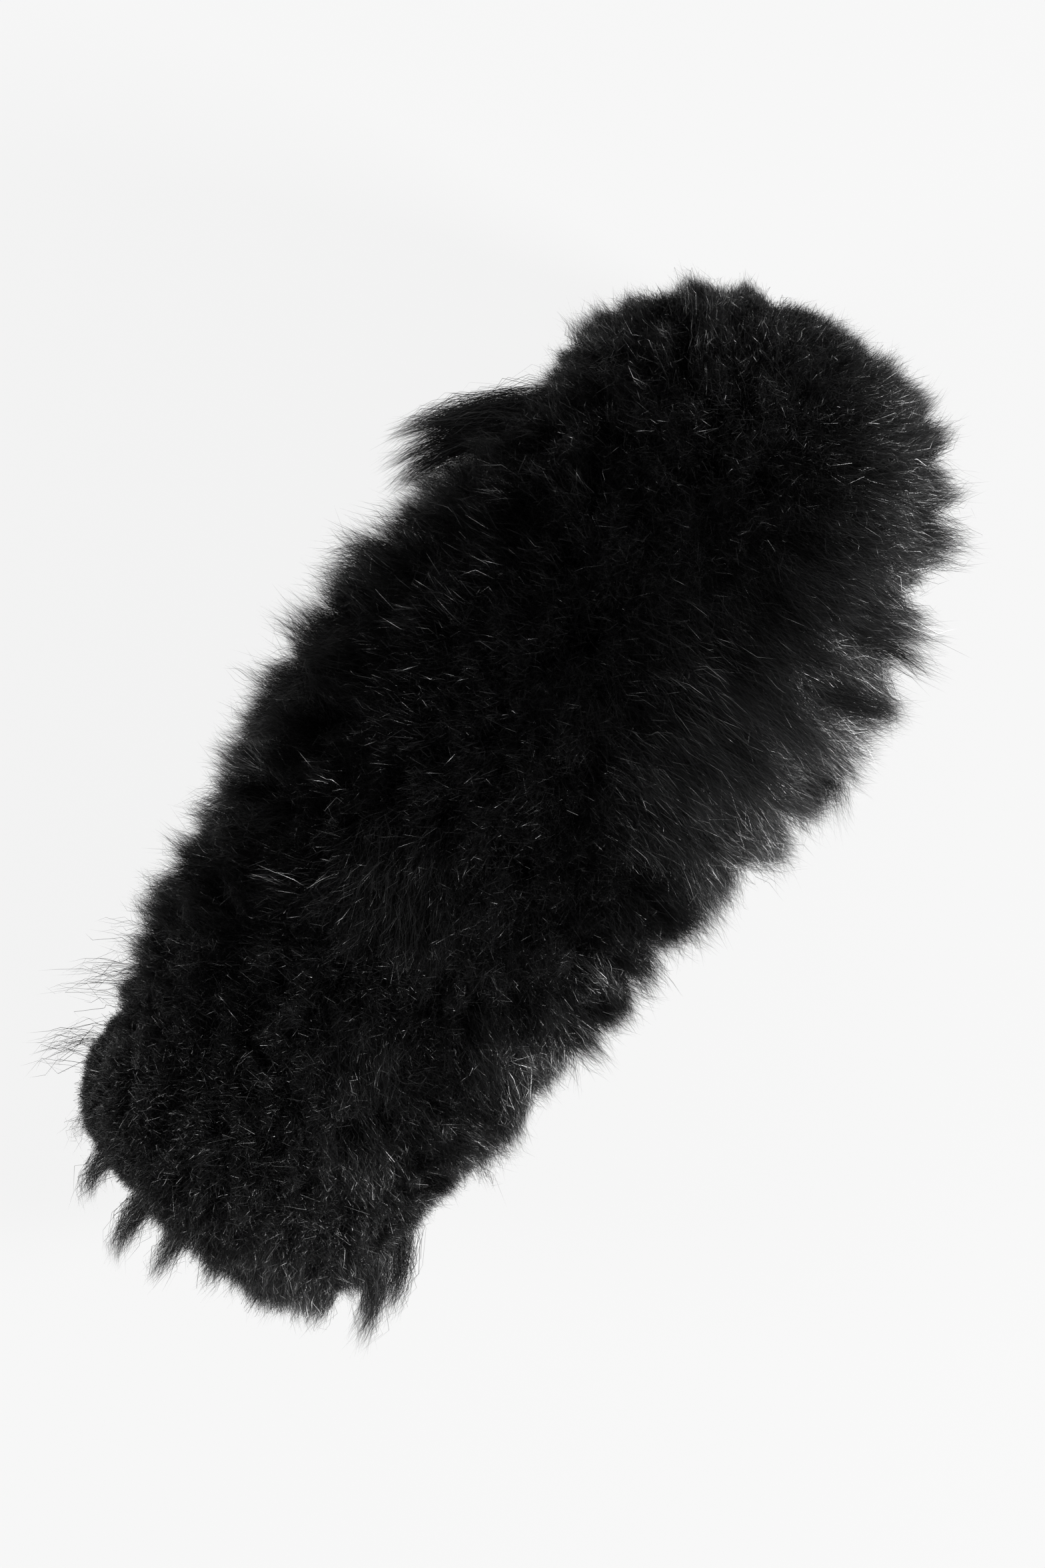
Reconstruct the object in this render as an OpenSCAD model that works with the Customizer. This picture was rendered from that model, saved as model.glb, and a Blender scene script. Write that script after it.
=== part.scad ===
// Slip-on furry windscreen for a shotgun microphone: a long-pile fur jacket over a foam-filled
// cage with a rubber gripping collar. Millimetres.
// +X runs along the microphone bore towards the nose and +Z is up. The origin is the centre of
// the bore's rear mouth. The windscreen lies on its side, on fur that its weight has flattened.

/* [Microphone] */
// Relaxed bore of the rubber collar
mic_bore_d = 19; // [17:0.5:20]
// Widest microphone barrel that the slot takes
mic_max_d = 22; // [21:0.5:22.5]
// Depth of the slot, from the rear face to the end pad
slot_depth = 177; // [165:1:185]

/* [Cage] */
// Outside diameter of the cage
cage_d = 62; // [60:1:64]
// Radial thickness of the ribs and hoops
cage_wall = 1.9; // [1.6:0.1:2.1]
// Number of lengthwise ribs
rib_count = 10; // [8:1:12]
// Width of each rib and hoop
rib_w = 2.6; // [2.2:0.2:3.4]

/* [Fur] */
// Greatest diameter over the fur
fur_d = 109; // [103:1:113]
// Diameter over the fur where the tail begins to round off
tail_d = 87; // [83:1:90]
// Diameter over the fur where the nose begins to round off
nose_d = 94; // [88:1:98]
// Depth of fur in front of the cage's tip
nose_pile = 19; // [16:1:26]
// How far the fur hangs past the rear face
tail_overhang = 14; // [6:1:16]
// Height of the bore axis above the surface that the windscreen lies on
axis_height = 44; // [42:0.5:46]

/* [Base] */
// Number of screws that hold the clamp ring
screw_count = 4; // [3:1:6]
// Diameter of the circle that the screws stand on
screw_circle_d = 49; // [48:0.5:50]

/* [Hidden] */
$fn = 96;
eps = 0.01;

// Cage and foam
cage_r = cage_d / 2;
cage_in_r = cage_r - cage_wall;
spigot_r = cage_in_r - 0.2;
foam_r = cage_in_r - 1.3;
sleeve_wall = 0.6;
sleeve_in_r = mic_max_d / 2 + 0.2;
sleeve_out_r = sleeve_in_r + sleeve_wall;
foam_bore_r = sleeve_out_r + 0.3;
pad_thick = 5.5;
dome_x = slot_depth + 6; // centre of the cage's round nose
joint_x = dome_x / 2 + 12; // middle of the ring that joins the two pods
joint_w = 3.8;
joint_tongue = 5;
dome_rim_w = 3;
sleeve_slot_rows = 7;
sleeve_slots_round = 6;

// Base
ring_thick = 3;
cup_end_x = 20;
cup_shoulder_x = 14;
flange_r = 19.8;
flange_thick = 3;
collar_len = 30;
collar_mouth_r = mic_bore_d / 2 + 2;
collar_lip = 2.2; // how far the flared lip stands proud of the clamp ring
collar_out_r = 13.6;
collar_tip_r = 12.2;
collar_rib_r = 14;
neck_r = 14.2;
screw_r = 1;
screw_head_r = 2.4;
screw_len = 12;
pilot_clearance = 0.05;
boss_r = 3;

// Jacket
gap = 0.3; // running gap between the jacket and the core
liner_in_r = cage_r + gap;
liner_wall = 0.7;
backing_r = liner_in_r + liner_wall + gap; // where the fur fabric begins
hem_x = 1;
hem_w = 6;
hem_wall = 2;
hem_out_r = backing_r + hem_wall;
elastic_r = 0.65;
tail_seam_x = 30;
nose_seam_x = 190;
seam_w = 1.6;
seam_depth = 2.9;
tail_round_x = 24; // where the tail's rounding ends
nose_round_x = 194; // where the nose's rounding begins
peak_x = 142;
tail_rim_r = hem_out_r + 1.6;
tip_x = dome_x + cage_r + nose_pile;
outline_steps = 10;

// Turns a shape drawn along +Z so that it lies along +X.
module along_x() {
    rotate([0, 90, 0]) children();
}

// A solid of revolution about the bore axis, from [radius, x] points.
module turned(points) {
    along_x() rotate_extrude() polygon(points);
}

// A round bar along the bore axis.
module bar(r, x0, x1) {
    translate([x0, 0, 0]) along_x() cylinder(r = r, h = x1 - x0);
}

// A ring with a rectangular section.
module ring(r_in, r_out, x0, x1) {
    turned([[r_in, x0], [r_out, x0], [r_out, x1], [r_in, x1]]);
}

// A ball at the centre of the round nose, with its poles on the bore axis.
module nose_ball(r) {
    translate([dome_x, 0, 0]) along_x() sphere(r = r);
}

// Copies a shape evenly round the bore axis.
module around(count, first = 0) {
    for (i = [0:count - 1]) rotate([first + 360 * i / count, 0, 0]) children();
}

// Everything in front of a plane across the axis.
module ahead_of(x) {
    translate([x, -200, -200]) cube([400, 400, 400]);
}

// ---- Fur outline ----

function ease(t) = (1 - cos(180 * min(1, max(0, t)))) / 2;

// Radius of the fur's outer face along the body, between its two rounded ends.
function body_r(x) = x < peak_x
    ? tail_d / 2 + (fur_d - tail_d) / 2 * ease((x - tail_round_x) / (peak_x - tail_round_x))
    : fur_d / 2 - (fur_d - nose_d) / 2 * ease((x - peak_x) / (nose_round_x - peak_x));

// [radius, x] points of the outer face, from the tail's rim to the nose's tip.
tail_points = [
    for (i = [0:outline_steps])
        let (a = 90 * i / outline_steps)
            [
                tail_rim_r + (tail_d / 2 - tail_rim_r) * sin(a),
                tail_round_x - (tail_round_x + tail_overhang) * cos(a)
            ]
];
body_points = [
    for (i = [1:2 * outline_steps - 1])
        let (x = tail_round_x + (nose_round_x - tail_round_x) * i / (2 * outline_steps))
            [body_r(x), x]
];
nose_points = [
    for (i = [0:outline_steps])
        let (a = 90 * i / outline_steps)
            [nose_d / 2 * cos(a), nose_round_x + (tip_x - nose_round_x) * sin(a)]
];

// The whole body of fur, flat where it lies on the surface.
module fur_envelope() {
    difference() {
        turned(concat([[0, -tail_overhang]], tail_points, body_points, nose_points));
        translate([-100, -200, -axis_height - 200]) cube([500, 400, 200]);
    }
}

// Room inside the fur for the liner, and at the rear for the hem.
module fur_hollow() {
    bar(backing_r, -tail_overhang - 1, dome_x);
    nose_ball(backing_r);
    bar(hem_out_r + gap, -tail_overhang - 1, hem_x + hem_w + gap);
}

// The fur between two planes across the axis.
module fur_slice(x0, x1) {
    intersection() {
        difference() {
            fur_envelope();
            fur_hollow();
        }
        translate([x0, -200, -200]) cube([x1 - x0, 400, 400]);
    }
}

// Room for the turned-in edges of a seam that runs round the jacket.
module seam_groove(x) {
    bar(backing_r + seam_depth, x - seam_w / 2, x + seam_w / 2);
}

// ---- Jacket ----

module fur_nose_cap() {
    color("#0c0c0d") difference() {
        fur_slice(nose_seam_x, tip_x + 1);
        seam_groove(nose_seam_x);
    }
}

module fur_body_wrap() {
    color("#0e0e0f") difference() {
        fur_slice(tail_seam_x, nose_seam_x);
        seam_groove(nose_seam_x);
        seam_groove(tail_seam_x);
        translate([tail_seam_x, -seam_w / 2, -backing_r - seam_depth])
            cube([nose_seam_x - tail_seam_x, seam_w, backing_r]);
    }
}

module fur_tail_skirt() {
    color("#101011") difference() {
        fur_slice(-tail_overhang - 1, tail_seam_x);
        seam_groove(tail_seam_x);
    }
}

// Turned-in and oversewn edges where the nose cap meets the wrap. The liner's round nose
// begins behind this seam, so the seam's inner edge follows it.
module nose_seam() {
    color("#1b1b1d") difference() {
        ring(
            backing_r - 2, backing_r + seam_depth,
            nose_seam_x - seam_w / 2, nose_seam_x + seam_w / 2
        );
        fur_hollow();
    }
}

module tail_seam() {
    color("#1b1b1d") ring(
        backing_r, backing_r + seam_depth,
        tail_seam_x - seam_w / 2, tail_seam_x + seam_w / 2
    );
}

// The long seam that closes the wrap into a tube, along the underside.
module spine_seam() {
    color("#1b1b1d") difference() {
        translate([tail_seam_x + seam_w / 2, -seam_w / 2, -backing_r - seam_depth])
            cube([nose_seam_x - tail_seam_x - seam_w, seam_w, seam_depth + 1]);
        fur_hollow();
    }
}

// Thin knitted sock that the fur is sewn to, closed at the nose.
module jacket_liner() {
    liner_r = liner_in_r + liner_wall;
    liner_x = hem_x + 2;
    color("#26262a") difference() {
        union() {
            bar(liner_r, liner_x, dome_x);
            nose_ball(liner_r);
        }
        bar(liner_in_r, liner_x - 1, dome_x);
        nose_ball(liner_in_r);
    }
}

module hem_channel(r) {
    translate([hem_x + hem_w / 2, 0, 0]) along_x()
        rotate_extrude() translate([(backing_r + hem_out_r) / 2, 0]) circle(r = r, $fn = 32);
}

// Folded tape round the jacket's rear edge, hollow for the elastic.
module hem_binding() {
    color("#17171a") difference() {
        ring(backing_r, hem_out_r, hem_x, hem_x + hem_w);
        hem_channel(elastic_r + 0.1);
    }
}

module hem_elastic() {
    color("#3a3a3e") hem_channel(elastic_r);
}

// ---- Base ----

module at_screws() {
    around(screw_count, 45) translate([0, 0, screw_circle_d / 2]) along_x() children();
}

// Rear plate that traps the collar's flange against the cup.
module clamp_ring() {
    edge = 0.8;
    color("#1c1c1e") difference() {
        turned([
            [neck_r + edge, 0], [cage_r - edge, 0], [cage_r, edge], [cage_r, ring_thick],
            [neck_r, ring_thick], [neck_r, edge]
        ]);
        at_screws() {
            translate([0, 0, -eps]) cylinder(r1 = screw_head_r + 0.2, r2 = screw_r + 0.2, h = 1.9);
            cylinder(r = screw_r + 0.2, h = ring_thick + 1, $fn = 32);
        }
    }
}

// Countersunk self-tapping screw, with a cross recess, pointing along +Z.
module screw() {
    head_z = 0.15;
    head_h = 1.5;
    recess_w = 0.6;
    recess_len = 2.6;
    difference() {
        union() {
            translate([0, 0, head_z]) cylinder(r1 = screw_head_r, r2 = screw_r, h = head_h, $fn = 48);
            translate([0, 0, head_z + head_h - eps])
                cylinder(r = screw_r, h = screw_len - head_h, $fn = 32);
            translate([0, 0, head_z + screw_len - 2 * eps])
                cylinder(r1 = screw_r, r2 = 0.2, h = 1.2, $fn = 32);
        }
        for (turn = [0, 90]) rotate([0, 0, turn])
            translate([-recess_len / 2, -recess_w / 2, -1]) cube([recess_len, recess_w, 1.9]);
    }
}

module clamp_screws() {
    color("#8c8d90") at_screws() screw();
}

// Rubber collar that grips the microphone: a proud flared lip, a flange and a ribbed sleeve.
module gripper_collar() {
    bore_r = mic_bore_d / 2;
    rib_pitch = 4.5;
    rib_x = ring_thick + flange_thick + 5;
    color("#202022") difference() {
        union() {
            turned([
                [0, -collar_lip], [collar_out_r, -collar_lip], [collar_out_r, ring_thick],
                [flange_r, ring_thick], [flange_r, ring_thick + flange_thick],
                [collar_out_r, ring_thick + flange_thick],
                [collar_tip_r, collar_len], [0, collar_len]
            ]);
            for (i = [0:3]) ring(
                collar_tip_r - 1, collar_rib_r - 0.3 * i,
                rib_x + rib_pitch * i, rib_x + rib_pitch * i + 1.4
            );
        }
        bar(bore_r, -collar_lip - 1, collar_len + 1);
        turned([
            [0, -collar_lip - 1], [collar_mouth_r, -collar_lip - 1], [collar_mouth_r, -collar_lip],
            [bore_r, 0], [0, 0]
        ]);
    }
}

// Moulded cup at the rear. It seats the collar and plugs into the rear pod.
module base_cup() {
    pocket_in_r = 17;
    pocket_out_r = 26.6;
    pocket_x = 9;
    flange_seat_r = flange_r + 0.3;
    color("#222225") difference() {
        union() {
            difference() {
                turned([
                    [neck_r, ring_thick], [cage_r, ring_thick], [cage_r, cup_shoulder_x],
                    [spigot_r, cup_shoulder_x], [spigot_r, cup_end_x - 0.8],
                    [spigot_r - 0.8, cup_end_x], [neck_r, cup_end_x]
                ]);
                ring(pocket_in_r, pocket_out_r, pocket_x, cup_end_x + 1);
            }
            at_screws() translate([0, 0, pocket_x - 1]) cylinder(r = boss_r, h = cup_end_x - pocket_x, $fn = 48);
        }
        bar(flange_seat_r, ring_thick - 1, ring_thick + flange_thick + 0.1);
        at_screws() translate([0, 0, ring_thick - 1])
            cylinder(r = screw_r + pilot_clearance, h = screw_len + 0.6, $fn = 32);
    }
}

// ---- Cage ----

module ribs(x0, x1) {
    around(rib_count) translate([x0, -rib_w / 2, 0]) cube([x1 - x0, rib_w, cage_r]);
}

// Ribs between two radii, cut from straight bars so that their faces are truly round.
module rib_barrel(x0, x1) {
    intersection() {
        ribs(x0, x1);
        ring(cage_in_r, cage_r, x0, x1);
    }
}

module hoops(x_list, w = rib_w) {
    for (x = x_list) ring(cage_in_r, cage_r, x, x + w);
}

module cage_rear_pod() {
    x0 = cup_shoulder_x + 0.1;
    x1 = joint_x - joint_w / 2 - 0.1;
    bay = (x1 - rib_w - x0) / 3;
    color("#1f1f22") union() {
        rib_barrel(x0, x1);
        hoops([x0], 6);
        hoops([x0 + bay, x0 + 2 * bay, x1 - rib_w]);
    }
}

// Coupling hoop with a tongue that plugs into each pod.
module cage_joint_ring() {
    color("#2a2a2e") turned([
        [spigot_r - 0.9, joint_x - joint_w / 2 - joint_tongue],
        [spigot_r, joint_x - joint_w / 2 - joint_tongue],
        [spigot_r, joint_x - joint_w / 2], [cage_r, joint_x - joint_w / 2],
        [cage_r, joint_x + joint_w / 2], [spigot_r, joint_x + joint_w / 2],
        [spigot_r, joint_x + joint_w / 2 + joint_tongue],
        [spigot_r - 0.9, joint_x + joint_w / 2 + joint_tongue]
    ]);
}

module cage_front_pod() {
    x0 = joint_x + joint_w / 2 + 0.1;
    x1 = dome_x - dome_rim_w - 0.1;
    bay = (x1 - rib_w - x0) / 3;
    color("#1f1f22") union() {
        rib_barrel(x0, x1);
        hoops([x0, x0 + bay, x0 + 2 * bay, x1 - rib_w]);
    }
}

// Round front end, cut from a shell: a rim, a middle hoop and a button joined by the ribs.
module cage_nose_dome() {
    button_r = 7.5;
    hoop_in_r = 20;
    hoop_out_r = 22.8;
    color("#1f1f22") union() {
        ring(cage_in_r, cage_r, dome_x - dome_rim_w, dome_x);
        intersection() {
            difference() {
                nose_ball(cage_r);
                nose_ball(cage_in_r);
            }
            union() {
                ribs(dome_x, dome_x + cage_r + 1);
                ring(hoop_in_r, hoop_out_r, dome_x, dome_x + cage_r + 1);
                bar(button_r, dome_x, dome_x + cage_r + 1);
            }
        }
    }
}

// ---- Foam and bore ----

// Open-cell foam tube between the slot and the cage.
module foam_body() {
    wide_bore_r = collar_rib_r + 0.5;
    wide_bore_end = collar_len + 0.5;
    color("#3b3c3f") turned([
        [wide_bore_r, cup_end_x + 2], [foam_r, cup_end_x + 2], [foam_r, dome_x - 0.5],
        [foam_bore_r, dome_x - 0.5], [foam_bore_r, wide_bore_end], [wide_bore_r, wide_bore_end]
    ]);
}

module foam_nose() {
    color("#3b3c3f") intersection() {
        nose_ball(foam_r);
        ahead_of(dome_x);
    }
}

// Closed-cell washer that seals the foam against the cup.
module foam_gasket() {
    color("#55565a") ring(neck_r + 0.3, foam_r - 0.6, cup_end_x + 0.1, cup_end_x + 1.9);
}

// Slotted tube that lines the slot, so that the foam doesn't drag on the microphone.
module bore_sleeve() {
    x0 = collar_len + 1;
    x1 = slot_depth - 0.5;
    slot_len = 14;
    slot_w = 5;
    pitch = (x1 - x0 - slot_len - 6) / (sleeve_slot_rows - 1);
    color("#2d2e31") difference() {
        ring(sleeve_in_r, sleeve_out_r, x0, x1);
        for (row = [0:sleeve_slot_rows - 1])
            around(sleeve_slots_round, row % 2 * 180 / sleeve_slots_round)
                translate([x0 + 3 + row * pitch, -slot_w / 2, 0]) cube([slot_len, slot_w, cage_r]);
    }
}

// Firm pad that stops the microphone at the end of the slot.
module bore_end_pad() {
    color("#4a4b4f") bar(sleeve_out_r, slot_depth, slot_depth + pad_thick - 0.2);
}

fur_nose_cap();
fur_body_wrap();
fur_tail_skirt();
nose_seam();
tail_seam();
spine_seam();
jacket_liner();
hem_binding();
hem_elastic();
clamp_ring();
clamp_screws();
gripper_collar();
base_cup();
cage_rear_pod();
cage_joint_ring();
cage_front_pod();
cage_nose_dome();
foam_body();
foam_nose();
foam_gasket();
bore_sleeve();
bore_end_pad();
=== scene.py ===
"""Looks for the furry microphone windscreen: its pile, fabrics, foam, plastics, light and camera.

Everything is in metres in the row frame: +X along the microphone bore towards the nose, +Z up,
with the origin at the bore's rear mouth. The windscreen lies on its side on the floor.
"""

import math

import bpy
import numpy as np
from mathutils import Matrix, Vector, noise


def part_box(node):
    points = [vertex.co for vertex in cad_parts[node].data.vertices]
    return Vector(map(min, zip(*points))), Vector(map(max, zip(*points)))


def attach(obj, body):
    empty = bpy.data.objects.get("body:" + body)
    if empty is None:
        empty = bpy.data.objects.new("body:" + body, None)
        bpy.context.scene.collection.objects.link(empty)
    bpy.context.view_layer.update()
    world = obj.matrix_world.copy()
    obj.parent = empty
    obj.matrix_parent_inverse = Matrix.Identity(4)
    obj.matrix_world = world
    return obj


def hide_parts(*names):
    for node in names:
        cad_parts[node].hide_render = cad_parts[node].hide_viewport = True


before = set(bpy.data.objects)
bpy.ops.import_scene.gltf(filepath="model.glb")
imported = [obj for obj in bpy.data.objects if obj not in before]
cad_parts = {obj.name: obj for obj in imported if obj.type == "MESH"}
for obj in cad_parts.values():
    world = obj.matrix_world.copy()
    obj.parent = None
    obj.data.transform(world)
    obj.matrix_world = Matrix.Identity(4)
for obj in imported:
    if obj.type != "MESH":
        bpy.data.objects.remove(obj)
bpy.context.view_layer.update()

MM = 0.001
SEED = 20240613


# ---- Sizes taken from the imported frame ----

def low(node):
    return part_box(node)[0]


def high(node):
    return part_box(node)[1]


FLOOR_Z = low("fur_body_wrap").z
TAIL_X = low("fur_tail_skirt").x
TAIL_SEAM_X = low("fur_body_wrap").x
NOSE_SEAM_X = high("fur_body_wrap").x
TIP_X = high("fur_nose_cap").x
CAGE_R = high("base_cup").y
DOME_X = high("cage_nose_dome").x - CAGE_R  # centre of the cage's round nose
BACKING_R = high("tail_seam").y - 2.9 * MM  # inner face of the fur fabric
HEM_R = high("hem_binding").y
FUR_R = high("fur_body_wrap").y  # the widest the fur gets
TAIL_R = high("fur_tail_skirt").y
NOSE_R = high("fur_nose_cap").y
TAIL_ROUND_X = 24 * MM
NOSE_ROUND_X = 194 * MM
PEAK_X = 142 * MM
OPENING_R = 17 * MM  # the opening in the pile at the tail
NEAR_AXIS = 0.05 * MM  # stands for a radius of zero, so that no face folds up
TURNS = 96  # faces round a revolved piece
FINE_TURNS = 144


# ---- Camera ----

def make_camera():
    """Looks straight down, turned so that the nose points up and to the right."""
    roll = math.radians(-53.65)
    view_height = 337 * MM  # what the picture's long side covers at the bore's height
    aim = Vector((106.5 * MM, -3 * MM, 0))
    data = bpy.data.cameras.new("camera")
    data.lens = 120
    data.sensor_width = 36
    data.clip_end = 20
    distance = view_height * data.lens / data.sensor_width
    camera = bpy.data.objects.new("camera", data)
    camera.location = aim + Vector((0, 0, distance))
    camera.rotation_euler = (0, 0, roll)
    bpy.context.scene.collection.objects.link(camera)
    bpy.context.scene.camera = camera


make_camera()


# ---- Light and floor ----

def area_light(name, location, target, size, power):
    data = bpy.data.lights.new(name, "AREA")
    data.shape = "RECTANGLE"
    data.size, data.size_y = size
    data.energy = power
    lamp = bpy.data.objects.new(name, data)
    lamp.location = location
    lamp.rotation_mode = "QUATERNION"
    lamp.rotation_quaternion = (Vector(target) - Vector(location)).to_track_quat("-Z", "Y")
    bpy.context.scene.collection.objects.link(lamp)


def make_world():
    world = bpy.data.worlds.new("studio")
    world.use_nodes = True
    background = world.node_tree.nodes["Background"]
    background.inputs["Color"].default_value = (1, 1, 1, 1)
    background.inputs["Strength"].default_value = 0.33
    bpy.context.scene.world = world


def make_floor():
    """A pale floor that glows a little, so that shadows on it stay faint."""
    size = 6
    mesh = bpy.data.meshes.new("floor")
    corners = [(-size, -size, 0), (size, -size, 0), (size, size, 0), (-size, size, 0)]
    mesh.from_pydata(corners, [], [(0, 1, 2, 3)])
    floor = bpy.data.objects.new("floor", mesh)
    floor.location = (0, 0, FLOOR_Z - 0.2 * MM)
    bpy.context.scene.collection.objects.link(floor)
    material = bpy.data.materials.new("floor")
    material.use_nodes = True
    shader = material.node_tree.nodes["Principled BSDF"]
    shader.inputs["Base Color"].default_value = (0.02, 0.02, 0.02, 1)
    shader.inputs["Roughness"].default_value = 0.9
    shader.inputs["Specular IOR Level"].default_value = 0.1
    shader.inputs["Emission Color"].default_value = (1, 1, 1, 1)
    shader.inputs["Emission Strength"].default_value = 0.872
    mesh.materials.append(material)


def make_lights():
    """A low key beyond the nose on the -Y side, and a weaker fill across from it at the tail."""
    middle = (110 * MM, 0, 0)
    area_light("key", (0.55, -1.1, 0.5), middle, (0.3, 0.3), 70)
    area_light("fill", (-0.7, 0.8, 0.4), middle, (0.4, 0.4), 20)


bpy.context.scene.view_settings.view_transform = "Standard"
make_world()
make_floor()
make_lights()


# ---- Fur outline ----

def ease(t):
    return (1 - np.cos(np.pi * np.clip(t, 0, 1))) / 2


def pile_radius(x):
    """Radius of the pile's outer face along the body, without its round ends."""
    rising = TAIL_R + (FUR_R - TAIL_R) * ease((x - TAIL_ROUND_X) / (PEAK_X - TAIL_ROUND_X))
    falling = FUR_R - (FUR_R - NOSE_R) * ease((x - PEAK_X) / (NOSE_ROUND_X - PEAK_X))
    return np.where(x < PEAK_X, rising, falling)


def skin_profile(samples=160):
    """(x, r) along the under-pile's outer face, from the tail's rim to the nose's tip.

    The under-pile is the part of the fur so dense that it reads as solid. Strands stand on it.
    """
    thin_r = BACKING_R + 3 * MM
    share = 0.5

    def skin_r(outer):
        return thin_r + (outer - TAIL_R) * share

    tail_end_x = 7 * MM
    rim_x, rim_r = TAIL_X + 5 * MM, OPENING_R
    nose_start_x = 186 * MM
    nose_end_x = TIP_X - 14 * MM
    turn = np.linspace(0, np.pi / 2, samples // 4)
    tail_x = tail_end_x - (tail_end_x - rim_x) * np.cos(turn)
    tail_r = rim_r + (skin_r(TAIL_R) - rim_r) * np.sin(turn)
    body_x = np.linspace(tail_end_x, nose_start_x, samples)[1:-1]
    body_r = skin_r(pile_radius(body_x))
    nose_r0 = skin_r(pile_radius(np.array([nose_start_x])))[0]
    nose_x = nose_start_x + (nose_end_x - nose_start_x) * np.sin(turn)
    nose_r = nose_r0 * np.cos(turn)
    x = np.concatenate([tail_x, body_x, nose_x])
    r = np.concatenate([tail_r, body_r, nose_r])
    return x, np.maximum(r, 0)


PROFILE_X, PROFILE_R = skin_profile()


def profile_normals():
    """Outward normal (along X, along the radius) at each profile point."""
    dx, dr = np.gradient(PROFILE_X), np.gradient(PROFILE_R)
    length = np.hypot(dx, dr)
    return -dr / length, dx / length


NORMAL_X, NORMAL_R = profile_normals()


def skin_frame(u, angle):
    """Points, outward normals and tailward tangents on the under-pile.

    u is a fractional index into the profile, and angle turns from +Y towards +Z.
    """
    index = np.arange(len(PROFILE_X))
    x, r = np.interp(u, index, PROFILE_X), np.interp(u, index, PROFILE_R)
    nx, nr = np.interp(u, index, NORMAL_X), np.interp(u, index, NORMAL_R)
    size = np.hypot(nx, nr)
    nx, nr = nx / size, nr / size
    c, s = np.cos(angle), np.sin(angle)
    point = np.stack([x, r * c, r * s], 1)
    normal = np.stack([nx, nr * c, nr * s], 1)
    tailward = np.stack([-nr, nx * c, nx * s], 1)
    return point, normal, tailward


def press_down(points, floor, soft):
    """Squeezes what would reach below the floor into a thin layer on it."""
    height = points[..., 2] - floor
    squeezed = soft * np.exp(np.minimum(height - soft, 0) / soft)
    points[..., 2] = floor + np.where(height < soft, squeezed, height)
    return points


def unit(v):
    return v / np.maximum(np.linalg.norm(v, axis=-1, keepdims=True), 1e-9)


def outward(points):
    """Unit directions straight out from the bore's axis."""
    return unit(points * np.array([0, 1, 1]))


def smooth_noise(points, scale, offset):
    """Perlin noise, about -1 to 1, at each point."""
    shift = Vector((offset, offset * 1.7, -offset * 0.6))
    return np.array([noise.noise(Vector(p) / scale + shift) for p in points.tolist()])


# ---- Materials ----

WRAP_R = 32 * MM  # the radius at which woven cloth is true to size

def new_material(name):
    material = bpy.data.materials.new(name)
    material.use_nodes = True
    return material, material.node_tree, material.node_tree.nodes["Principled BSDF"]


def plain_material(name, colour, rough, shine):
    material, _, shader = new_material(name)
    shader.inputs["Base Color"].default_value = (*colour, 1)
    shader.inputs["Roughness"].default_value = rough
    shader.inputs["Specular IOR Level"].default_value = shine
    return material


def fur_material(name, grey, shine):
    """Nearly black acrylic fibre with a slight cool cast."""
    return plain_material(name, (grey, grey, grey * 1.04), 0.35, shine)


def node_in(tree, kind, **values):
    """A shader node with the given input values."""
    node = tree.nodes.new(kind)
    for name, value in values.items():
        node.inputs[name].default_value = value
    return node


def math_node(tree, operation, first, second):
    """The result of a sum on an output and on another output or a number."""
    node = tree.nodes.new("ShaderNodeMath")
    node.operation = operation
    tree.links.new(first, node.inputs[0])
    if isinstance(second, (int, float)):
        node.inputs[1].default_value = second
    else:
        tree.links.new(second, node.inputs[1])
    return node.outputs[0]


def wrapped_place(tree):
    """The place on a part as millimetres along the bore, round it and out from it."""
    place = tree.nodes.new("ShaderNodeTexCoord")
    apart = tree.nodes.new("ShaderNodeSeparateXYZ")
    tree.links.new(place.outputs["Object"], apart.inputs[0])
    turn = math_node(tree, "ARCTAN2", apart.outputs["Z"], apart.outputs["Y"])
    joined = tree.nodes.new("ShaderNodeCombineXYZ")
    tree.links.new(math_node(tree, "MULTIPLY", apart.outputs["X"], 1 / MM), joined.inputs["X"])
    tree.links.new(math_node(tree, "MULTIPLY", turn, WRAP_R / MM), joined.inputs["Y"])
    return joined.outputs[0]


def plain_place(tree):
    """The place on a part in millimetres."""
    place = tree.nodes.new("ShaderNodeTexCoord")
    scale = tree.nodes.new("ShaderNodeMapping")
    scale.inputs["Scale"].default_value = (1 / MM, 1 / MM, 1 / MM)
    tree.links.new(place.outputs["Object"], scale.inputs["Vector"])
    return scale.outputs[0]


def set_range(tree, fac, low_value, high_value, socket):
    """Drives a shader's input between two values by a 0 to 1 factor."""
    span = tree.nodes.new("ShaderNodeMapRange")
    span.inputs["To Min"].default_value = low_value
    span.inputs["To Max"].default_value = high_value
    tree.links.new(fac, span.inputs["Value"])
    tree.links.new(span.outputs[0], socket)


def set_colour(tree, fac, dark, light, shader):
    ramp = tree.nodes.new("ShaderNodeValToRGB")
    ramp.color_ramp.elements[0].position = 0.3
    ramp.color_ramp.elements[1].position = 0.7
    ramp.color_ramp.elements[0].color = (*dark, 1)
    ramp.color_ramp.elements[1].color = (*light, 1)
    tree.links.new(fac, ramp.inputs["Fac"])
    tree.links.new(ramp.outputs["Color"], shader.inputs["Base Color"])


def set_bump(tree, height, depth, strength, shader):
    bump = node_in(tree, "ShaderNodeBump", Strength=strength, Distance=depth)
    tree.links.new(height, bump.inputs["Height"])
    tree.links.new(bump.outputs[0], shader.inputs["Normal"])


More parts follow.
